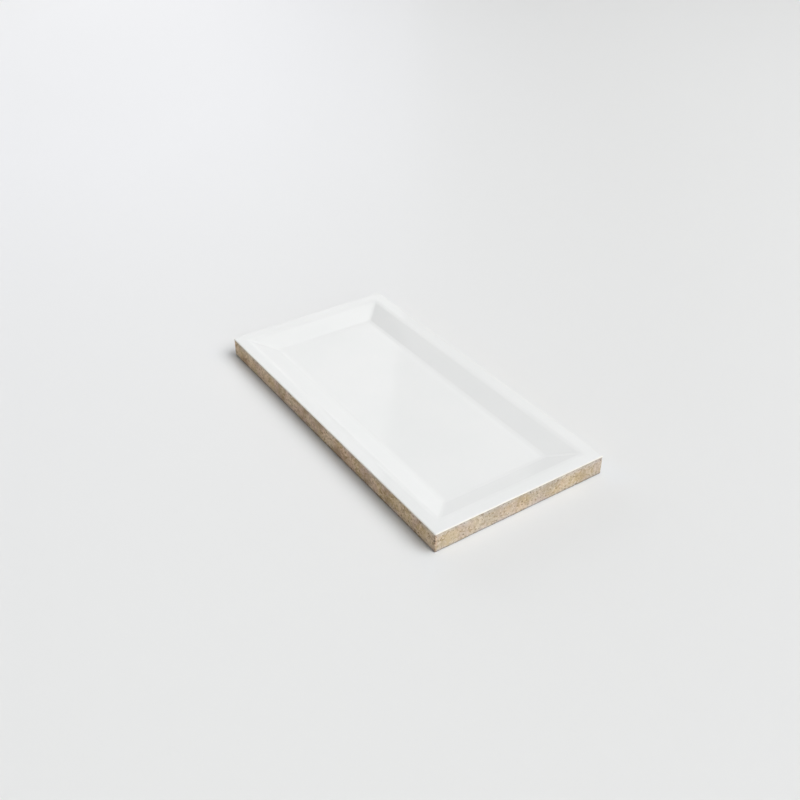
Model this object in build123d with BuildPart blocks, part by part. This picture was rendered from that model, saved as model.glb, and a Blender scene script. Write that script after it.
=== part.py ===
import os
from math import atan2, degrees

from build123d import *

# A pressed wall tile with a sunken, bevelled face. Lengths are in millimetres. The tile lies face up on
# its ribbed back: X runs along its length, Y across it and Z out of the glazed face, from the centre of
# the back.

# Body
length = 150.0
width = 75.0
thickness = 8.2
corner_radius = 0.6
foot_arris_radius = 0.4

# Glazed face: a flat rim, four bevels that fall away from it and a flat panel between them
rim_width = 5.2
bevel_run = 9.6
recess_depth = 3.6
glaze_arris_radius = 0.4
rim_crease_radius = 6.0
recess_crease_radius = 5.0

# Keyed back: shallow pockets between ribs, which the bedding adhesive grips
key_columns = 12
key_rows = 6
key_border = 4.0
key_rib_width = 2.0
key_depth = 0.7
key_draft_angle = 25.0

# The opening inside the rim, and the slope that joins it to the panel
opening_length = length - 2 * rim_width
opening_width = width - 2 * rim_width
bevel_taper = degrees(atan2(bevel_run, recess_depth))

# One pocket of the back, and the distance from each to the next
key_length = (length - 2 * key_border - (key_columns - 1) * key_rib_width) / key_columns
key_width = (width - 2 * key_border - (key_rows - 1) * key_rib_width) / key_rows
key_pitch_x = key_length + key_rib_width
key_pitch_y = key_width + key_rib_width

with BuildPart() as tile:
    with BuildSketch():
        RectangleRounded(length, width, corner_radius)
    extrude(amount=thickness)

    # The recess. One cutter rounds the panel's edges and the mitres between the bevels alike
    with BuildSketch(Plane.XY.offset(thickness)):
        Rectangle(opening_length, opening_width)
    extrude(amount=-recess_depth, taper=bevel_taper, mode=Mode.SUBTRACT)
    mitres = tile.edges(Select.LAST).filter_by(Plane.XY, reverse=True)
    panel = tile.faces().filter_by(Plane.XY).sort_by(Axis.Z)[-2]
    fillet([*mitres, *panel.edges()], recess_crease_radius)
    rim = tile.faces().filter_by(Plane.XY).sort_by(Axis.Z)[-1]
    fillet(rim.inner_wires()[0].edges(), rim_crease_radius)

    # The outer edges, softer where the glaze runs over them
    rim = tile.faces().filter_by(Plane.XY).sort_by(Axis.Z)[-1]
    fillet(rim.outer_wire().edges(), glaze_arris_radius)
    back = tile.faces().filter_by(Plane.XY).sort_by(Axis.Z)[0]
    fillet(back.edges(), foot_arris_radius)

    # The pockets narrow inwards, so that the tile leaves its mould
    with BuildSketch(Plane.XY):
        with GridLocations(key_pitch_x, key_pitch_y, key_columns, key_rows):
            Rectangle(key_length, key_width)
    extrude(amount=key_depth, taper=key_draft_angle, mode=Mode.SUBTRACT)

tile.part.label = "tile"

os.makedirs("parts", exist_ok=True)
export_step(tile.part, "parts/tile.step")
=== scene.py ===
"""Visual model of a white glazed wall tile with a sunken, bevelled face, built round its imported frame."""

import logging
import math
from collections.abc import Callable
from dataclasses import dataclass, field
from enum import Enum

import bmesh
import bpy
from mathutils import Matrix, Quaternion, Vector


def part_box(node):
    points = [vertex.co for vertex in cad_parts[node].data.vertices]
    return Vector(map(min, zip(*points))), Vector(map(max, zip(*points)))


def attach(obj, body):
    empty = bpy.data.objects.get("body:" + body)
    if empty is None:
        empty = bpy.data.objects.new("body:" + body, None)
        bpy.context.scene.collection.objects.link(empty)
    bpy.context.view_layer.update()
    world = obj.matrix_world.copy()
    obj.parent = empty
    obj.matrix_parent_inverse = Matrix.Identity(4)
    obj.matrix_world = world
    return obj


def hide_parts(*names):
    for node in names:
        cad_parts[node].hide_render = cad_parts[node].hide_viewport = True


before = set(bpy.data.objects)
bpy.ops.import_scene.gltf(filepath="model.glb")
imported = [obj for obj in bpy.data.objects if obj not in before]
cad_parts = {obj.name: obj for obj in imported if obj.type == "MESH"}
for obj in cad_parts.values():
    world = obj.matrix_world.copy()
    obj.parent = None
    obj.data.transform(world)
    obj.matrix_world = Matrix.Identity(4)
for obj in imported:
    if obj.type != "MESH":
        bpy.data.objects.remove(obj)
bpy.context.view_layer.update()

logging.basicConfig(level=logging.INFO, format="%(name)s: %(message)s")
log = logging.getLogger("tile")

MM = 0.001
BAND = "band"

# How large the Z of a face's normal is at most if the face is upright, and at least if it is level
UPRIGHT = 0.1
LEVEL = 0.9

# How much of a side's length an edge spans at least if it runs all along that side
MOST = 0.7

# The colour sockets of a Mix node, whose names its other sockets share
FIRST_COLOUR, SECOND_COLOUR, MIXED_COLOUR = 6, 7, 2

Colour = tuple[float, float, float]
Point = tuple[float, float, float]
Ramp = tuple[float, float]
Share = tuple[float, float]
Socket = bpy.types.NodeSocket
Tone = Colour | Socket
EdgeTest = Callable[[bmesh.types.BMEdge], bool]


class Signal:
    """A shader socket that carries one number, with Python's operators for its maths."""

    def __init__(self, graph: "Graph", socket: Socket) -> None:
        """Wraps an output socket of the graph, which new maths nodes are added to."""
        self.graph = graph
        self.socket = socket

    def __add__(self, other: "Value") -> "Signal":
        """Returns self + other."""
        return self.graph.maths("ADD", self, other)

    def __radd__(self, other: "Value") -> "Signal":
        """Returns other + self."""
        return self.graph.maths("ADD", other, self)

    def __sub__(self, other: "Value") -> "Signal":
        """Returns self - other."""
        return self.graph.maths("SUBTRACT", self, other)

    def __rsub__(self, other: "Value") -> "Signal":
        """Returns other - self."""
        return self.graph.maths("SUBTRACT", other, self)

    def __mul__(self, other: "Value") -> "Signal":
        """Returns self * other."""
        return self.graph.maths("MULTIPLY", self, other)

    def __rmul__(self, other: "Value") -> "Signal":
        """Returns other * self."""
        return self.graph.maths("MULTIPLY", other, self)

    def step(self, low: float, high: float) -> "Signal":
        """Returns a smooth step of this number.

        Args:
            low: Where the step starts, at 0.
            high: Where it ends, at 1. It may lie below low, for a step that falls.

        Returns:
            A number from 0 to 1.
        """
        settings = {"interpolation_type": "SMOOTHSTEP"}
        inputs = {"Value": self, "From Min": min(low, high), "From Max": max(low, high)}
        node = self.graph.node("ShaderNodeMapRange", settings, inputs)
        stepped = Signal(self.graph, node.outputs["Result"])
        return stepped if low < high else 1 - stepped

    def size(self) -> "Signal":
        """Returns the number without its sign."""
        return self.graph.maths("ABSOLUTE", self)

    def at_least(self, other: "Value") -> "Signal":
        """Returns the larger of this number and another."""
        return self.graph.maths("MAXIMUM", self, other)

    def share(self, amounts: Share) -> "Signal":
        """Returns the first amount where this number is 0, and the sum of both where it is 1."""
        return amounts[0] + self * amounts[1]


Value = Signal | float


class Graph:
    """The node tree of one material or world, emptied and ready for new nodes. Lengths are in millimetres."""

    def __init__(self, owner: bpy.types.Material | bpy.types.World) -> None:
        """Empties the owner's node tree.

        Args:
            owner: The material or world that the nodes belong to.
        """
        owner.use_nodes = True
        self.tree = owner.node_tree
        self.tree.nodes.clear()

    def node(self, kind: str, settings: dict[str, object], inputs: dict[str | int, object]) -> bpy.types.Node:
        """Adds a node.

        Args:
            kind: The node's type, such as "ShaderNodeTexNoise".
            settings: The node's own settings, which are set before its sockets.
            inputs: Socket names or numbers, each with a value, a socket or a Signal.

        Returns:
            The new node.
        """
        node = self.tree.nodes.new(kind)
        for name, setting in settings.items():
            setattr(node, name, setting)
        for name, value in inputs.items():
            socket = node.inputs[name]
            if isinstance(value, Signal):
                value = value.socket
            if isinstance(value, Socket):
                self.tree.links.new(value, socket)
            elif isinstance(value, tuple) and len(socket.default_value) > len(value):
                socket.default_value = (*value, 1.0)
            else:
                socket.default_value = value
        return node

    def maths(self, operation: str, *values: Value) -> Signal:
        """Adds a Math node and returns its result."""
        node = self.node("ShaderNodeMath", {"operation": operation}, dict(enumerate(values)))
        return Signal(self, node.outputs[0])

    def blend(self, factor: Value, first: Tone, second: Tone) -> Socket:
        """Mixes two colours, from the first alone at a factor of 0 to the second alone at 1."""
        inputs = {"Factor": factor, FIRST_COLOUR: first, SECOND_COLOUR: second}
        return self.node("ShaderNodeMix", {"data_type": "RGBA"}, inputs).outputs[MIXED_COLOUR]

    def tint(self, factor: Value, colour: Tone, by: Colour) -> Socket:
        """Multiplies a colour by another, channel by channel.

        Args:
            factor: 0 leaves the colour as it is, 1 tints it fully.
            colour: The colour.
            by: What each channel is multiplied by.

        Returns:
            The socket that carries the tinted colour.
        """
        settings = {"data_type": "RGBA", "blend_type": "MULTIPLY"}
        inputs = {"Factor": factor, FIRST_COLOUR: colour, SECOND_COLOUR: by}
        return self.node("ShaderNodeMix", settings, inputs).outputs[MIXED_COLOUR]

    def millimetres(self, shift: Point = (0.0, 0.0, 0.0)) -> Socket:
        """Returns the object's own coordinates in millimetres.

        Args:
            shift: Where the coordinates' origin is moved to.

        Returns:
            The socket that carries the coordinates.
        """
        place = self.node("ShaderNodeTexCoord", {}, {})
        moved = tuple(-amount for amount in shift)
        inputs = {"Vector": place.outputs["Object"], "Location": moved, "Scale": (1 / MM, 1 / MM, 1 / MM)}
        return self.node("ShaderNodeMapping", {}, inputs).outputs["Vector"]

    def noise(self, vector: Socket, period: float, detail: float) -> Signal:
        """Adds clouds from 0 to 1, the largest of them a period wide, with a number of finer layers."""
        inputs = {"Vector": vector, "Scale": 1 / period, "Detail": detail}
        return Signal(self, self.node("ShaderNodeTexNoise", {}, inputs).outputs["Fac"])

    def grains(self, vector: Socket, pitch: float) -> tuple[Signal, Signal, Signal]:
        """Splits space into grains.

        Args:
            vector: The coordinates.
            pitch: The distance from grain to grain.

        Returns:
            The distance from the grain's centre in pitches, and two random numbers for each grain.
        """
        node = self.node("ShaderNodeTexVoronoi", {}, {"Vector": vector, "Scale": 1 / pitch})
        split = self.node("ShaderNodeSeparateColor", {}, {"Color": node.outputs["Color"]})
        first, second = (Signal(self, split.outputs[channel]) for channel in ("Red", "Green"))
        return Signal(self, node.outputs["Distance"]), first, second

    def ruffle(self, vector: Socket, period: float, reach: float) -> Socket:
        """Shifts coordinates to and fro, so that a pattern on them loses its straight lines.

        Args:
            vector: The coordinates.
            period: The size of the shifts' clouds.
            reach: How far the coordinates are shifted at most.

        Returns:
            The socket that carries the shifted coordinates.
        """
        clouds = self.node("ShaderNodeTexNoise", {}, {"Vector": vector, "Scale": 1 / period, "Detail": 2.0})
        inputs = {0: clouds.outputs["Color"], 1: (reach, reach, reach), 2: vector}
        return self.node("ShaderNodeVectorMath", {"operation": "MULTIPLY_ADD"}, inputs).outputs["Vector"]

    def axes(self, vector: Socket) -> tuple[Signal, ...]:
        """Returns the three parts of a vector."""
        split = self.node("ShaderNodeSeparateXYZ", {}, {"Vector": vector})
        return tuple(Signal(self, output) for output in split.outputs)

    def beyond(self, vector: Socket, length: float, width: float) -> Signal:
        """Returns how far the coordinates lie outside an upright box about the origin, negative inside it."""
        x, y, _ = self.axes(vector)
        return (x.size() - length / 2).at_least(y.size() - width / 2)

    def distance(self, vector: Socket, point: Point) -> Signal:
        """Returns how far the coordinates lie from a point."""
        node = self.node("ShaderNodeVectorMath", {"operation": "DISTANCE"}, {0: vector, 1: point})
        return Signal(self, node.outputs["Value"])

    def bump(self, height: Signal, depth: float, under: Socket | None = None) -> Socket:
        """Adds a Bump node.

        Args:
            height: The relief, from 0 to 1.
            depth: What 1 of that relief stands for.
            under: The normal of a coarser relief that this one lies on, if any.

        Returns:
            The socket that carries the normal.
        """
        inputs = {"Height": height, "Distance": depth * MM}
        if under is not None:
            inputs["Normal"] = under
        return self.node("ShaderNodeBump", {}, inputs).outputs["Normal"]

    def seen(self) -> Signal:
        """Tells the rays that show a surface from those that only carry its light.

        Returns:
            1 for what the camera sees, also in gloss or through glass, and 0 for the rest.
        """
        rays = self.node("ShaderNodeLightPath", {}, {}).outputs
        camera, glossy, through = (
            Signal(self, rays[f"Is {kind} Ray"]) for kind in ("Camera", "Glossy", "Transmission"))
        return camera.at_least(glossy).at_least(through)

    def principled(self, inputs: dict[str | int, object]) -> Socket:
        """Adds the Principled shader and returns its output."""
        return self.node("ShaderNodeBsdfPrincipled", {}, inputs).outputs["BSDF"]

    def surface(self, shader: Socket) -> None:
        """Adds the material's output and joins a shader to it."""
        self.node("ShaderNodeOutputMaterial", {}, {"Surface": shader})


@dataclass(frozen=True)
class GlazeFinish:
    """White gloss glaze, fired on a pressed body. It is never quite flat, and thins at the tile's outer edge.

    Sizes are in millimetres. A period is the size of a pattern's largest clouds, and a ramp is where a smooth
    step starts and ends.

    Attributes:
        length: The size of the tile along X.
        width: Its size along Y.
        name: The material's name.
        colour: The glaze at its usual thickness.
        pooled_colour: The glaze where it lies thicker.
        thin_colour: The glaze where the body shows through it.
        pool_period: The thicker places.
        pool_ramp: How thick the glaze is where it starts to look pooled, and where it fully does.
        pool_strength: How much of the pooled colour the thicker places take.
        cast_period: Small changes of tone.
        cast_strength: How much of the pooled colour those changes take.
        thin_ramp: How far outside the tile's outline the glaze starts to thin, and where it is thinnest.
        thin_strength: How much of the thin colour shows there.
        ragged_width: How far that border strays.
        gloss: The roughness of the glaze.
        haze_period: Places that are less glossy.
        haze: What those places add to the roughness.
        thin_haze: What the thin edge adds to it.
        refraction: The glaze's index of refraction.
        sway_period: The slow waves in the surface.
        sway_height: The height of those waves.
        peel_period: The fine ripple in the surface.
        peel_height: The height of that ripple.
    """

    length: float
    width: float
    name: str = "white_gloss_glaze"
    colour: Colour = (0.828, 0.836, 0.832)
    pooled_colour: Colour = (0.805, 0.820, 0.816)
    thin_colour: Colour = (0.795, 0.745, 0.665)
    pool_period: float = 22.0
    pool_ramp: Ramp = (0.35, 0.7)
    pool_strength: float = 0.5
    cast_period: float = 3.5
    cast_strength: float = 0.12
    thin_ramp: Ramp = (-0.40, 0.0)
    thin_strength: float = 0.7
    ragged_width: float = 0.1
    gloss: float = 0.035
    haze_period: float = 6.0
    haze: float = 0.03
    thin_haze: float = 0.35
    refraction: float = 1.52
    sway_period: float = 14.0
    sway_height: float = 0.010
    peel_period: float = 1.7
    peel_height: float = 0.0008

    def make(self) -> bpy.types.Material:
        """Makes the glaze.

        Returns:
            The material.
        """
        material = bpy.data.materials.new(self.name)
        graph = Graph(material)
        place = graph.millimetres()
        cast = graph.noise(place, self.cast_period, detail=2.0)
        pool = graph.noise(place, self.pool_period, detail=3.0).step(*self.pool_ramp)
        pooled = pool * self.pool_strength + cast * self.cast_strength
        colour = graph.blend(pooled, self.colour, self.pooled_colour)
        outward = graph.beyond(place, self.length, self.width)
        thin = (outward + cast * self.ragged_width).step(*self.thin_ramp)
        colour = graph.blend(thin * self.thin_strength, colour, self.thin_colour)
        sway = graph.bump(graph.noise(place, self.sway_period, detail=1.0), self.sway_height)
        peel = graph.bump(graph.noise(place, self.peel_period, detail=2.0), self.peel_height, under=sway)
        haze = graph.noise(place, self.haze_period, detail=3.0) * self.haze
        graph.surface(graph.principled({
            "Base Color": colour,
            "Roughness": self.gloss + haze + thin * self.thin_haze,
            "IOR": self.refraction,
            "Normal": peel,
        }))
        return material


@dataclass(frozen=True)
class BiscuitFinish:
    """Bare tan biscuit: pressed grains of several tones with dark flecks, greyer under the glaze.

    Sizes are in millimetres, and heights are above the back. A period is the size of a pattern's largest
    clouds, and a ramp is where a smooth step starts and ends. The flank is the long side that faces -Y. A
    share is how strong something is on the other sides, and what the flank adds to that.

    Attributes:
        length: The size of the tile along X.
        width: Its size along Y.
        glaze_line: The height at which the glaze ends.
        name: The material's name.
        body: The clay's own colour.
        pink: The clay's warmer cast.
        olive: The clay's greener cast.
        sand: The colour of the yellower areas.
        ash: The colour of the greyer areas.
        pale: The colour of the pale grains and patches.
        brown: The colour of the brown ones.
        fleck: The colour of the dark flecks.
        flank_tint: What the flank's colours are multiplied by.
        lip_tint: The same for the band under the glaze and, more faintly, for the band over the foot.
        painted_shadow_line_tint: The same for the line below the glaze, a painted shadow line under its edge.
        painted_foot_shade_tint: The same for the foot, painted contact shade where the tile meets the floor.
        flank_ramp: How deep behind the flank's plane its look starts, and where it is full.
        cast_share: How much of the two casts there is.
        area_strength: How much of the yellower and greyer areas' colours there is.
        cast_period: The two casts.
        area_period: The yellower and greyer areas, and the larger patches.
        cast_ramp: Where one cast or area turns to the other.
        area_shift: Where the pattern of the yellower and greyer areas starts.
        patch_shift: Where the pattern of the larger patches starts.
        grain_pitch: The distance between the coarse grains.
        fine_pitch: The distance between the fine ones.
        ruffle_period: The wobbles in the grains' outlines.
        ruffle_reach: How far those outlines stray.
        cloud_period: The tone changes that run across grains.
        grit_period: The finest grain.
        tone_weights: How much the coarse grains, the fine ones, those changes and the grit count in a tone.
        grain_share: How much of the pale and brown grains there is.
        patch_share: How much of the patches there is.
        pale_grains: The grains' tones that turn pale.
        brown_grains: The grains' tones that turn brown.
        pale_patches: The patches' tones that turn pale.
        brown_patches: The patches' tones that turn brown.
        edge_period: The wobbles in the borders of the bands.
        edge_reach: How far those borders stray.
        lip_ramp: Where the band under the glaze starts and is full, from the glaze line.
        lip_share: How much of its tint it takes.
        over_foot_ramp: Where the band over the foot starts and is full.
        over_foot_strength: How much of the same tint it takes.
        painted_shadow_line_ramp: Where that painted shadow line starts and is full, from the glaze line.
        painted_foot_shade_ramp: Where the painted foot shade starts and is full.
        painted_sole_shade_ramp: Where its darkest part does, painted contact shadow that the flank lacks.
        fleck_chance: Which coarse grains hold a fleck.
        fleck_size: How far from the grain's centre, in pitches, such a fleck ends.
        speck_chance: Which fine grains hold a fleck.
        speck_size: How far from the grain's centre, in pitches, such a fleck ends.
        blemish_inset: How far the one large fleck lies along the flank from the upright corner.
        blemish_height: Its height.
        blemish_size: How far from its centre it ends.
        fleck_strength: How dark the flecks are.
        roughness: The roughness.
        refraction: The index of refraction.
        relief_weights: How high the grit rises, and how deep the gaps between coarse grains, those between
            fine ones and the flecks lie.
        relief_depth: What a relief of 1 stands for.
    """

    length: float
    width: float
    glaze_line: float
    name: str = "tan_biscuit"
    body: Colour = (0.572, 0.460, 0.330)
    pink: Colour = (0.605, 0.467, 0.415)
    olive: Colour = (0.490, 0.432, 0.238)
    sand: Colour = (0.633, 0.470, 0.268)
    ash: Colour = (0.547, 0.475, 0.415)
    pale: Colour = (0.740, 0.645, 0.515)
    brown: Colour = (0.350, 0.250, 0.150)
    fleck: Colour = (0.130, 0.090, 0.060)
    flank_tint: Colour = (1.045, 0.96, 0.86)
    lip_tint: Colour = (0.98, 1.08, 1.30)
    painted_shadow_line_tint: Colour = (0.80, 0.80, 0.78)
    painted_foot_shade_tint: Colour = (0.62, 0.64, 0.69)
    flank_ramp: Ramp = (1.2, 0.4)
    cast_share: Share = (0.4, 0.5)
    area_strength: float = 0.45
    cast_period: float = 6.0
    area_period: float = 9.0
    cast_ramp: Ramp = (0.39, 0.61)
    area_shift: Point = (40.0, 20.0, 10.0)
    patch_shift: Point = (-30.0, 50.0, 20.0)
    grain_pitch: float = 0.85
    fine_pitch: float = 0.42
    ruffle_period: float = 0.4
    ruffle_reach: float = 0.6
    cloud_period: float = 1.8
    grit_period: float = 0.16
    tone_weights: tuple[float, ...] = (0.5, 0.35, 0.15, 0.15)
    grain_share: Share = (0.8, 0.3)
    patch_share: Share = (0.45, 0.4)
    pale_grains: Ramp = (0.60, 0.92)
    brown_grains: Ramp = (0.54, 0.22)
    pale_patches: Ramp = (0.48, 0.72)
    brown_patches: Ramp = (0.52, 0.28)
    edge_period: float = 1.4
    edge_reach: float = 0.6
    lip_ramp: Ramp = (-2.2, 0.3)
    lip_share: Share = (0.85, -0.25)
    over_foot_ramp: Ramp = (2.2, 0.8)
    over_foot_strength: float = 0.3
    painted_shadow_line_ramp: Ramp = (-0.1, 0.3)
    painted_foot_shade_ramp: Ramp = (0.8, 0.1)
    painted_sole_shade_ramp: Ramp = (0.45, 0.1)
    fleck_chance: Ramp = (0.955, 0.98)
    fleck_size: Ramp = (0.50, 0.25)
    speck_chance: Ramp = (0.95, 0.97)
    speck_size: Ramp = (0.5, 0.3)
    blemish_inset: float = 0.5
    blemish_height: float = 5.0
    blemish_size: Ramp = (1.0, 0.7)
    fleck_strength: float = 0.75
    roughness: float = 0.9
    refraction: float = 1.5
    relief_weights: tuple[float, ...] = (0.4, 0.4, 0.2, 0.2)
    relief_depth: float = 0.12

    def make(self) -> bpy.types.Material:
        """Makes the biscuit.

        Returns:
            The material.
        """
        material = bpy.data.materials.new(self.name)
        graph = Graph(material)
        place = graph.millimetres()
        _, y, z = graph.axes(place)
        start, end = (self.width / 2 - depth for depth in self.flank_ramp)
        flank = (0 - y).step(start, end)
        edge = graph.noise(place, self.edge_period, detail=3.0) * self.edge_reach
        clouds = graph.noise(place, self.cloud_period, detail=2.0)
        grit = graph.noise(place, self.grit_period, detail=2.0)
        loose = graph.ruffle(place, self.ruffle_period, self.ruffle_reach)
        distance, tone, chance = graph.grains(loose, self.grain_pitch)
        fine_distance, fine_tone, fine_chance = graph.grains(loose, self.fine_pitch)
        coarse, fine, cloudy, gritty = self.tone_weights
        mixed = tone * coarse + fine_tone * fine + clouds * cloudy + grit * gritty
        colour = self.mottle(graph, self.clay(graph, place, flank), mixed, flank)
        colour = self.grey_bands_and_paint_shade(graph, colour, z, edge, flank)
        corner = (self.length / 2 - self.blemish_inset, -self.width / 2, self.blemish_height)
        blemish = (graph.distance(place, corner) + edge).step(*self.blemish_size)
        specks = fine_chance.step(*self.speck_chance) * fine_distance.step(*self.speck_size)
        flecks = chance.step(*self.fleck_chance) * distance.step(*self.fleck_size)
        flecks = flecks.at_least(specks).at_least(blemish)
        rise, gap, fine_gap, pit = self.relief_weights
        relief = grit * rise - distance * gap - fine_distance * fine_gap - flecks * pit
        graph.surface(graph.principled({
            "Base Color": graph.blend(flecks * self.fleck_strength, colour, self.fleck),
            "Roughness": self.roughness,
            "IOR": self.refraction,
            "Normal": graph.bump(relief, self.relief_depth),
        }))
        return material

    def clay(self, graph: Graph, place: Socket, flank: Signal) -> Socket:
        """Mixes the clay's own colours, which change slowly along the tile.

        Args:
            graph: The material's graph.
            place: The coordinates.
            flank: 1 on the flank and 0 elsewhere.

        Returns:
            The socket that carries the colour.
        """
        moved = graph.millimetres(shift=self.area_shift)
        cast = graph.noise(place, self.cast_period, detail=2.0).step(*self.cast_ramp)
        area = graph.noise(moved, self.area_period, detail=3.0).step(*self.cast_ramp)
        casts = graph.blend(cast, self.olive, self.pink)
        colour = graph.blend(flank.share(self.cast_share), self.body, casts)
        return graph.blend(self.area_strength, colour, graph.blend(area, self.sand, self.ash))

    def mottle(self, graph: Graph, colour: Socket, mixed: Signal, flank: Signal) -> Socket:
        """Adds pale and brown grains, and larger patches of the same colours.

        Args:
            graph: The material's graph.
            colour: The clay's colour.
            mixed: The tone of the grains, coarse and fine.
            flank: 1 on the flank and 0 elsewhere.

        Returns:
            The socket that carries the colour.
        """
        moved = graph.millimetres(shift=self.patch_shift)
        patches = graph.noise(moved, self.area_period, detail=3.0)
        for grain_ramp, patch_ramp, stain in ((self.pale_grains, self.pale_patches, self.pale),
                                              (self.brown_grains, self.brown_patches, self.brown)):
            stained = mixed.step(*grain_ramp) * flank.share(self.grain_share)
            patched = patches.step(*patch_ramp) * flank.share(self.patch_share)
            colour = graph.blend(stained.at_least(patched), colour, stain)
        return graph.tint(flank, colour, self.flank_tint)

    def grey_bands_and_paint_shade(self, graph: Graph, colour: Socket, z: Signal, edge: Signal, flank: Signal) -> Socket:
        """Greys the bands under the glaze and over the foot, and paints shade below the glaze and at the
        foot.

        Args:
            graph: The material's graph.
            colour: The colour so far.
            z: The height above the back.
            edge: How far the borders of the bands stray here.
            flank: 1 on the flank and 0 elsewhere.

        Returns:
            The socket that carries the colour.
        """
        lip, painted_shadow_line = ((z + edge).step(self.glaze_line + start, self.glaze_line + end)
                     for start, end in (self.lip_ramp, self.painted_shadow_line_ramp))
        over_foot = (z - edge).step(*self.over_foot_ramp) * self.over_foot_strength
        greyed = (lip * flank.share(self.lip_share)).at_least(over_foot)
        colour = graph.tint(greyed, colour, self.lip_tint)
        # Painted shade: a dark shadow line just under the glaze's edge
        colour = graph.tint(painted_shadow_line, colour, self.painted_shadow_line_tint)
        # Painted contact shade: the foot darker, and darker still at the sole except on the flank
        colour = graph.tint((z - edge).step(*self.painted_foot_shade_ramp), colour, self.painted_foot_shade_tint)
        return graph.tint(z.step(*self.painted_sole_shade_ramp) * (1 - flank), colour, self.painted_foot_shade_tint)


class Slot(Enum):
    """The tile's finishes, numbered as its material slots are."""

    GLAZE = 0
    BISCUIT = 1


class Element(Enum):
    """The parts of a mesh that an operator can act on."""

    POINT = "VERT"
    EDGE = "EDGE"
    FACE = "FACE"


def span(edge: bmesh.types.BMEdge) -> Vector:
    """Returns how far an edge reaches along each axis."""
    start, end = (point.co for point in edge.verts)
    return Vector(abs(reach) for reach in end - start)


def heights(edge: bmesh.types.BMEdge) -> list[float]:
    """Returns the heights of an edge's ends, the lower one first."""
    return sorted(point.co.z for point in edge.verts)


def turns_upright(edge: bmesh.types.BMEdge) -> bool:
    """Tells whether an upright face meets a level one at an edge."""
    tilts = sorted(abs(face.normal.z) for face in edge.link_faces)
    return len(tilts) == 2 and tilts[0] < UPRIGHT and tilts[1] > LEVEL


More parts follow.
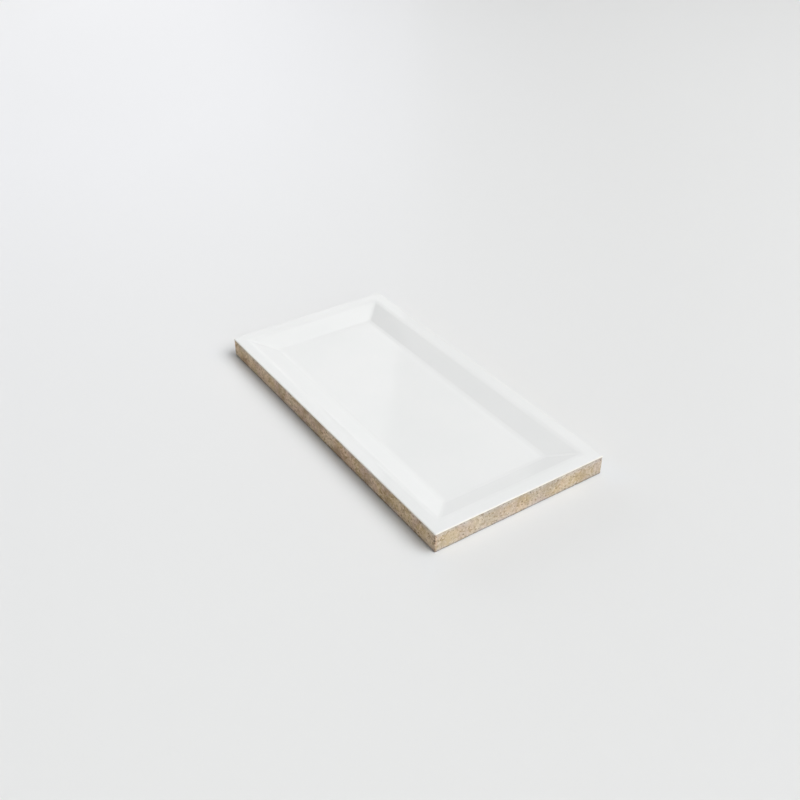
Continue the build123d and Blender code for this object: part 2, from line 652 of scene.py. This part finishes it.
@dataclass
class FiredTile:
    """The whole tile, modelled in millimetres and scaled to metres at the end.

    Attributes:
        length: The size along X.
        width: The size along Y.
        thickness: The height of the rim above the back.
        rim_width: The width of the flat rim.
        bevel_run: How far a bevel reaches inwards.
        recess_depth: How far the panel lies below the rim.
        rim_crease_radius: The rounding between the rim and the bevels.
        panel_crease_radius: The rounding between the bevels and the panel.
        mitre_radius: The rounding between two bevels.
        crease_segments: How many strips such a rounding is made of.
        key_columns: How many pockets the back has along X.
        key_rows: How many it has along Y.
        key_border: The width of the flat border round the pockets.
        key_rib_width: The width of the ribs between them.
        key_depth: Their depth.
        key_draft: The lean of their walls, in radians.
        key_arris: The rounding of their edges.
        key_segments: How many strips that rounding is made of.
        corner_radius: The rounding of the upright corners.
        glaze_arris_radius: The rounding of the rim's outer edge.
        foot_arris_radius: The rounding of the back's outer edge.
        arris_segments: How many strips the outer roundings are made of.
        guard: How far in from the outline the face and the back are split, where the sides' divisions stop.
        band_pitch: The size of the squares on the bare sides.
        sway_size: The size of the dents in the sides.
        sway_depth: The depth of those dents.
        grain_size: The size of the grains in the sides.
        grain_depth: The depth of the gaps between them.
        touch: The distance under which two places count as one.
        name: The name of the piece.
        tile: The object, once it is being built.
    """

    length: float
    width: float
    thickness: float
    rim_width: float = 5.2
    bevel_run: float = 9.6
    recess_depth: float = 3.6
    rim_crease_radius: float = 6.0
    panel_crease_radius: float = 6.0
    mitre_radius: float = 3.0
    crease_segments: int = 8
    key_columns: int = 12
    key_rows: int = 6
    key_border: float = 4.0
    key_rib_width: float = 2.0
    key_depth: float = 0.7
    key_draft: float = math.radians(25.0)
    key_arris: float = 0.2
    key_segments: int = 2
    corner_radius: float = 0.6
    glaze_arris_radius: float = 0.4
    foot_arris_radius: float = 0.4
    arris_segments: int = 5
    guard: float = 1.8
    band_pitch: float = 0.36
    sway_size: float = 2.5
    sway_depth: float = 0.05
    grain_size: float = 0.6
    grain_depth: float = 0.12
    touch: float = 1e-3
    name: str = "fired_tile"
    tile: bpy.types.Object = field(init=False)

    @property
    def bevel_slope(self) -> float:
        """The angle between the rim and a bevel."""
        return math.atan2(self.recess_depth, self.bevel_run)

    @property
    def mitre_fold(self) -> float:
        """The angle between two bevels that meet at a mitre."""
        return math.acos(math.cos(self.bevel_slope) ** 2)

    @property
    def panel_height(self) -> float:
        """The height of the sunken panel."""
        return self.thickness - self.recess_depth

    @property
    def band_top(self) -> float:
        """The height at which the bare sides end, under the rounded edge of the glaze."""
        return self.thickness - self.glaze_arris_radius

    def build(self) -> bpy.types.Object:
        """Models the tile.

        Returns:
            The tile, in metres.
        """
        bpy.ops.object.select_all(action="DESELECT")
        bpy.ops.mesh.primitive_cube_add(size=1, location=(0, 0, self.thickness / 2))
        self.tile = bpy.context.object
        self.tile.name = self.name
        self.tile.data.name = self.name
        bpy.ops.transform.resize(value=(self.length, self.width, self.thickness))
        bpy.ops.object.transform_apply(location=True, scale=True)
        bpy.ops.object.mode_set(mode="EDIT")
        self.sink_face()
        self.key_back()
        self.round_recess()
        self.round_outline()
        self.divide_band()
        self.group_band()
        bpy.ops.object.mode_set(mode="OBJECT")
        self.pit_band()
        self.smooth()
        bpy.ops.transform.resize(value=(MM, MM, MM), center_override=(0, 0, 0))
        bpy.ops.object.transform_apply(scale=True)
        return self.tile

    def pick(self, element: Element, wanted: Callable[..., bool]) -> None:
        """Selects the points, edges or faces that a test accepts, and nothing else.

        Args:
            element: What is selected.
            wanted: The test.
        """
        bpy.ops.mesh.select_mode(type=element.value)
        bpy.ops.mesh.select_all(action="DESELECT")
        mesh = bmesh.from_edit_mesh(self.tile.data)
        choices = {Element.POINT: mesh.verts, Element.EDGE: mesh.edges, Element.FACE: mesh.faces}
        for choice in choices[element]:
            if wanted(choice):
                choice.select_set(True)
        bmesh.update_edit_mesh(self.tile.data)

    def apply(self, kind: str, settings: dict[str, object]) -> None:
        """Adds a modifier to the tile and applies it.

        Args:
            kind: The modifier's type, such as "DISPLACE".
            settings: Its settings.
        """
        modifier = self.tile.modifiers.new(kind.lower(), kind)
        for name, setting in settings.items():
            setattr(modifier, name, setting)
        bpy.ops.object.modifier_apply(modifier=modifier.name)

    def round_off(self, edges: list[tuple[EdgeTest, float]], segments: int) -> None:
        """Rounds edges in one go, each to its own width, so that they blend where they meet.

        Args:
            edges: Tests that select edges, each with how far the rounding reaches from them.
            segments: How many strips a rounding is made of.
        """
        widest = max(reach for _, reach in edges)
        for wanted, reach in edges:
            self.pick(Element.EDGE, wanted)
            bpy.ops.transform.edge_bevelweight(value=reach / widest)
        bpy.ops.object.mode_set(mode="OBJECT")
        self.apply("BEVEL", {
            "width": widest,
            "segments": segments,
            "limit_method": "WEIGHT",
            "use_clamp_overlap": False,
        })
        bpy.ops.object.mode_set(mode="EDIT")
        bpy.ops.mesh.select_all(action="SELECT")
        bpy.ops.transform.edge_bevelweight(value=-1.0)

    def sink_face(self) -> None:
        """Insets the rim and the bevels in the top face and sinks the panel between them."""
        self.pick(Element.FACE, lambda face: face.normal.z > LEVEL)
        bpy.ops.mesh.inset(thickness=self.guard)
        bpy.ops.mesh.inset(thickness=self.rim_width - self.guard)
        bpy.ops.mesh.inset(thickness=self.bevel_run)
        bpy.ops.transform.translate(value=(0, 0, -self.recess_depth))

    def key_back(self) -> None:
        """Divides the back into cells and sinks a pocket in each, with ribs between them."""
        border = self.key_border - self.key_rib_width / 2
        self.pick(Element.FACE, lambda face: face.normal.z < -LEVEL)
        bpy.ops.mesh.inset(thickness=self.guard)
        bpy.ops.mesh.inset(thickness=border - self.guard)
        size = Vector((self.length - 2 * border, self.width - 2 * border))
        cells = (self.key_columns, self.key_rows)
        for axis, across in ((0, 1), (1, 0)):
            self.pick(Element.EDGE, lambda edge: heights(edge)[1] < self.touch
                      and span(edge)[axis] > size[axis] - self.touch
                      and all(abs(point.co[across]) < size[across] / 2 + self.touch for point in edge.verts))
            bpy.ops.mesh.subdivide(number_cuts=cells[axis] - 1)
        cell = size.x / self.key_columns * size.y / self.key_rows
        self.pick(Element.FACE, lambda face: face.normal.z < -LEVEL
                  and abs(face.calc_area() / cell - 1) < self.touch)
        bpy.ops.mesh.inset(thickness=self.key_rib_width / 2, use_individual=True)
        wall = self.key_depth * math.tan(self.key_draft)
        bpy.ops.mesh.inset(thickness=wall, depth=-self.key_depth, use_individual=True)
        self.pick(Element.EDGE, self.edges_pocket)
        bpy.ops.mesh.bevel(
            offset=self.key_arris, segments=self.key_segments, affect="EDGES", clamp_overlap=False)

    def edges_pocket(self, edge: bmesh.types.BMEdge) -> bool:
        """Tells whether an edge borders the wall of a pocket."""
        sloped = any(-LEVEL < face.normal.z < -UPRIGHT for face in edge.link_faces)
        return sloped and heights(edge)[1] < self.key_depth + self.touch

    def round_recess(self) -> None:
        """Rounds the creases round the rim's opening and the panel, and the mitres between the bevels."""
        half_slope = math.tan(self.bevel_slope / 2)

        def sloped(edge: bmesh.types.BMEdge) -> bool:
            """Tells whether an edge borders a bevel."""
            return any(self.touch < face.normal.z < 1 - self.touch for face in edge.link_faces)

        def at_rim(edge: bmesh.types.BMEdge) -> bool:
            """Tells whether an edge lies between the rim and a bevel."""
            return sloped(edge) and heights(edge)[0] > self.thickness - self.touch

        def at_panel(edge: bmesh.types.BMEdge) -> bool:
            """Tells whether an edge lies between a bevel and the panel."""
            return sloped(edge) and heights(edge)[1] < self.panel_height + self.touch

        def at_mitre(edge: bmesh.types.BMEdge) -> bool:
            """Tells whether an edge lies between two bevels."""
            return sloped(edge) and not at_rim(edge) and not at_panel(edge)

        self.round_off([
            (at_rim, self.rim_crease_radius * half_slope),
            (at_panel, self.panel_crease_radius * half_slope),
            (at_mitre, self.mitre_radius * math.tan(self.mitre_fold / 2)),
        ], self.crease_segments)

    def round_outline(self) -> None:
        """Rounds the upright corners, the edge of the glaze and the foot."""
        self.round_off([
            (lambda edge: span(edge).z > self.thickness - self.touch, self.corner_radius),
            (lambda edge: turns_upright(edge) and heights(edge)[0] > self.thickness - self.touch,
             self.glaze_arris_radius),
            (lambda edge: turns_upright(edge) and heights(edge)[1] < self.touch, self.foot_arris_radius),
        ], self.arris_segments)

    def divide_band(self) -> None:
        """Divides the bare sides into small squares, fine enough to be roughened."""
        size = Vector((self.length, self.width))
        for axis, across in ((0, 1), (1, 0)):
            edge_line = size[across] / 2 - self.guard - self.touch
            self.pick(Element.EDGE, lambda edge: span(edge)[axis] > size[axis] * MOST
                      and all(abs(point.co[across]) > edge_line for point in edge.verts))
            bpy.ops.mesh.subdivide(number_cuts=round(size[axis] / self.band_pitch) - 1)
        self.pick(Element.EDGE, lambda edge: span(edge).z > self.thickness * MOST)
        bpy.ops.mesh.subdivide(number_cuts=round(self.band_top / self.band_pitch) - 1)

    def group_band(self) -> None:
        """Names the points of the bare sides, clear of the glaze and the back, as one group."""
        size = Vector((self.length / 2 - self.foot_arris_radius, self.width / 2 - self.foot_arris_radius))
        self.pick(Element.POINT, lambda point: self.touch < point.co.z < self.band_top - self.touch
                  and (abs(point.co.x) > size.x or abs(point.co.y) > size.y))
        bpy.ops.object.vertex_group_assign_new()
        self.tile.vertex_groups.active.name = BAND

    def pit_band(self) -> None:
        """Sets the bare sides a hair behind the glaze and roughens them, coarsely and then grain by grain."""
        for kind, size, depth in (("CLOUDS", self.sway_size, self.sway_depth),
                                  ("VORONOI", self.grain_size, self.grain_depth)):
            pattern = bpy.data.textures.new(f"{BAND}_{kind.lower()}", kind)
            pattern.noise_scale = size
            self.apply("DISPLACE", {
                "texture": pattern,
                "texture_coords": "LOCAL",
                "vertex_group": BAND,
                "mid_level": 0.0,
                "strength": -depth,
            })

    def smooth(self) -> None:
        """Smooths the shading and weights it by area, so that flat faces stay flat in reflections."""
        bpy.ops.object.shade_smooth()
        self.apply("WEIGHTED_NORMAL", {"mode": "FACE_AREA", "weight": 100, "keep_sharp": True})

    def dress(self, finishes: dict[Slot, bpy.types.Material]) -> None:
        """Gives each face its finish.

        Args:
            finishes: The material of each slot.
        """
        for slot in Slot:
            self.tile.data.materials.append(finishes[slot])
        inner = Vector((self.length / 2 - self.guard, self.width / 2 - self.guard)) * MM
        for face in self.tile.data.polygons:
            inside = abs(face.center.x) < inner.x and abs(face.center.y) < inner.y
            glazed = face.center.z > self.band_top * MM or (inside and face.normal.z > UPRIGHT)
            face.material_index = (Slot.GLAZE if glazed else Slot.BISCUIT).value


@dataclass(frozen=True)
class Softbox:
    """A studio lamp that faces the tile from a given side.

    Attributes:
        name: The lamp's name.
        azimuth: Degrees round the tile, as `direction` counts them.
        elevation: Degrees above the floor.
        distance: Metres from the tile to the middle of the lamp.
        width: Metres across.
        height: Metres up.
        radiance: How bright the lamp looks, where 1 looks white.
        lean: Degrees that the lamp is turned in its own plane.
        mirrored: Whether gloss surfaces show it.
    """

    name: str
    azimuth: float
    elevation: float
    distance: float
    width: float
    height: float
    radiance: float
    lean: float = 0.0
    mirrored: bool = True

    def place(self) -> None:
        """Adds the lamp."""
        lamp = bpy.data.lights.new(self.name, "AREA")
        lamp.shape = "RECTANGLE"
        lamp.size, lamp.size_y = self.width, self.height
        lamp.energy = self.radiance * math.pi * self.width * self.height
        holder = bpy.data.objects.new(self.name, lamp)
        bpy.context.scene.collection.objects.link(holder)
        away = direction(self.azimuth, self.elevation)
        holder.location = away * self.distance
        turn = Quaternion(away, math.radians(self.lean))
        holder.rotation_euler = (turn @ away.to_track_quat("Z", "Y")).to_euler()
        holder.visible_glossy = self.mirrored


def direction(azimuth: float, elevation: float) -> Vector:
    """Returns the unit vector to a viewer, who looks along +Y at azimuth 0 and along -X at 90 degrees."""
    turn, rise = math.radians(azimuth), math.radians(elevation)
    return Vector((math.sin(turn) * math.cos(rise), -math.cos(turn) * math.cos(rise), math.sin(rise)))


@dataclass
class Studio:
    """The floor, the soft light and the camera.

    Places on the floor are in millimetres across and away, as the camera sees them from the tile's middle.

    Attributes:
        length: The size of the tile along X, in millimetres.
        width: Its size along Y, in millimetres.
        camera_azimuth: Degrees round the tile, as `direction` counts them.
        camera_elevation: Degrees above the floor.
        camera_distance: Metres from the point that the camera aims at.
        camera_aim: That point, in metres.
        lens: The camera's focal length, in millimetres.
        clip: The nearest and the farthest that the camera sees, in metres.
        floor_radius: The floor's radius, in metres.
        floor_sides: How many sides its outline has.
        floor_roughness: Its roughness.
        floor_specular: How much it reflects, where 0.5 is usual.
        floor_colour: The floor to the right.
        floor_painted_light_colour: The floor to the left, paler with painted light.
        painted_light_ramp: How far across the painted light turns the floor's colour from the one to the
            other.
        floor_painted_cool_light_tint: What the floor's colour is multiplied by beside the tile, painted
            cooler light.
        painted_cool_light_reach: How far from the tile that painted tint ends.
        floor_painted_glow_colour: The floor in its painted glow of light.
        glow_across: How far across the glow's middle lies.
        glow_away: How far away it lies.
        glow_width: The glow's size across.
        glow_length: Its size away from the camera.
        glow_edge: Where the glow ends, in those sizes.
        spill_strength: How strong the painted glow's spill is, which reaches up to the tile.
        spill_across: How far across the spill's border lies.
        spill_away: How far away the spill builds up.
        fade_ramp: How far from the tile the floor starts to fade into the backdrop and is lost in it.
        backdrop_radiance: How bright the backdrop looks, where 1 looks white.
        world_radiance: How brightly it lights the scene.
        softboxes: The lamps.
    """

    length: float
    width: float
    camera_azimuth: float = 56.08
    camera_elevation: float = 34.54
    camera_distance: float = 0.3857
    camera_aim: Point = (-0.00555, 0.00283, 0.0)
    lens: float = 42.5
    clip: tuple[float, float] = (0.01, 50.0)
    floor_radius: float = 4.0
    floor_sides: int = 64
    floor_roughness: float = 0.6
    floor_specular: float = 0.2
    floor_colour: Colour = (0.757, 0.763, 0.762)
    floor_painted_light_colour: Colour = (0.807, 0.815, 0.810)
    painted_light_ramp: Ramp = (150.0, -120.0)
    floor_painted_cool_light_tint: Colour = (0.995, 1.01, 1.03)
    painted_cool_light_reach: float = 14.0
    floor_painted_glow_colour: Colour = (0.872, 0.880, 0.901)
    glow_across: float = -230.0
    glow_away: float = 560.0
    glow_width: float = 250.0
    glow_length: float = 600.0
    glow_edge: float = 1.7
    spill_strength: float = 0.22
    spill_across: Ramp = (45.0, -15.0)
    spill_away: Ramp = (0.0, 350.0)
    fade_ramp: Ramp = (1000.0, 2300.0)
    backdrop_radiance: float = 0.85
    world_radiance: float = 0.1
    softboxes: tuple[Softbox, ...] = (
        # Name, azimuth, elevation, distance, width, height, radiance and lean
        Softbox("key", 118.0, 50.0, 2.5, 1.9, 1.9, 1.6),
        Softbox("key_soft", 118.0, 50.0, 2.6, 1.98, 1.98, 3.0, mirrored=False),
        Softbox("back", 158.0, 60.0, 2.5, 1.9, 1.9, 1.6),
        Softbox("right", 80.0, 14.0, 2.5, 2.4, 1.1, 0.9),
        Softbox("left", 270.0, 12.0, 2.5, 2.4, 1.0, 2.5),
        Softbox("front", 10.0, 14.0, 2.5, 2.0, 1.0, 0.4),
        Softbox("back_left", 250.0, 38.0, 2.5, 0.86, 2.0, 0.55, -16.0),
        Softbox("back_low", 250.0, 8.0, 3.0, 1.5, 0.8, 0.3),
        Softbox("left_high", 280.0, 50.0, 2.5, 1.6, 1.4, 0.2),
    )

    def place_camera(self) -> None:
        """Adds the camera and makes it the scene's own."""
        camera = bpy.data.cameras.new("camera")
        camera.lens = self.lens
        camera.clip_start, camera.clip_end = self.clip
        holder = bpy.data.objects.new("camera", camera)
        bpy.context.scene.collection.objects.link(holder)
        back = direction(self.camera_azimuth, self.camera_elevation)
        holder.location = Vector(self.camera_aim) + back * self.camera_distance
        holder.rotation_euler = back.to_track_quat("Z", "Y").to_euler()
        bpy.context.scene.camera = holder

    def shade_floor(self, graph: Graph) -> Socket:
        """Paints light into the floor: paler to the left, a glow far off there, and cooler light by the tile.

        Args:
            graph: The floor's shader graph.

        Returns:
            The socket that carries the floor's colour.
        """
        turn = math.radians(self.camera_azimuth)
        place = graph.millimetres()
        x, y, _ = graph.axes(place)
        across = x * math.cos(turn) + y * math.sin(turn)
        away = y * math.cos(turn) - x * math.sin(turn)
        # Painted light: the floor turns paler towards the left
        colour = graph.blend(across.step(*self.painted_light_ramp), self.floor_colour, self.floor_painted_light_colour)
        beside = graph.beyond(place, self.length, self.width)
        # Painted light: the floor's light and shade beside the tile cooled
        colour = graph.tint(beside.step(self.painted_cool_light_reach, 0.0), colour, self.floor_painted_cool_light_tint)
        # Painted light: a soft glow far off to the left, and its spill up to the tile
        width, length = self.glow_width, self.glow_length
        spot = graph.node("ShaderNodeCombineXYZ", {}, {"X": across * (1 / width), "Y": away * (1 / length)})
        middle = (self.glow_across / width, self.glow_away / length, 0.0)
        reach = graph.distance(spot.outputs["Vector"], middle)
        spill = across.step(*self.spill_across) * away.step(*self.spill_away) * self.spill_strength
        return graph.blend(reach.step(self.glow_edge, 0.0) + spill, colour, self.floor_painted_glow_colour)

    def place_floor(self) -> None:
        """Adds the floor, which fades into the backdrop far behind the tile."""
        bpy.ops.object.select_all(action="DESELECT")
        bpy.ops.mesh.primitive_circle_add(
            vertices=self.floor_sides, radius=self.floor_radius, fill_type="NGON")
        floor = bpy.context.object
        floor.name = "studio_floor"
        material = bpy.data.materials.new("studio_floor")
        graph = Graph(material)
        board = graph.principled({
            "Base Color": self.shade_floor(graph),
            "Roughness": self.floor_roughness,
            "Specular IOR Level": self.floor_specular,
        })
        backdrop = graph.node("ShaderNodeEmission", {}, {"Strength": self.backdrop_radiance})
        reach = graph.distance(graph.millimetres(), (0.0, 0.0, 0.0))
        fade = reach.step(*self.fade_ramp) * graph.seen()
        mixed = graph.node("ShaderNodeMixShader", {}, {0: fade, 1: board, 2: backdrop.outputs["Emission"]})
        graph.surface(mixed.outputs["Shader"])
        floor.data.materials.append(material)

    def light(self) -> None:
        """Adds the softboxes and the world, which looks pale but lights the tile only faintly."""
        for softbox in self.softboxes:
            softbox.place()
        world = bpy.data.worlds.new("studio")
        bpy.context.scene.world = world
        graph = Graph(world)
        strength = self.world_radiance + graph.seen() * (self.backdrop_radiance - self.world_radiance)
        glow = graph.node("ShaderNodeBackground", {}, {"Color": (1.0, 1.0, 1.0), "Strength": strength})
        graph.node("ShaderNodeOutputWorld", {}, {"Surface": glow.outputs["Background"]})

    def set_up(self) -> None:
        """Adds the camera, the floor and the light."""
        self.place_camera()
        self.place_floor()
        self.light()
        bpy.context.scene.view_settings.view_transform = "Standard"


def main() -> None:
    """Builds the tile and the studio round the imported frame."""
    low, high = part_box("tile")
    length, width, thickness = (high - low) / MM
    Studio(length, width).set_up()
    model = FiredTile(length, width, thickness)
    tile = model.build()
    glaze = GlazeFinish(length, width)
    biscuit = BiscuitFinish(length, width, glaze_line=model.band_top)
    model.dress({Slot.GLAZE: glaze.make(), Slot.BISCUIT: biscuit.make()})
    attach(tile, "root")
    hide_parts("tile")
    log.info("%s: %d faces", tile.name, len(tile.data.polygons))


if __name__ == "__main__":
    main()
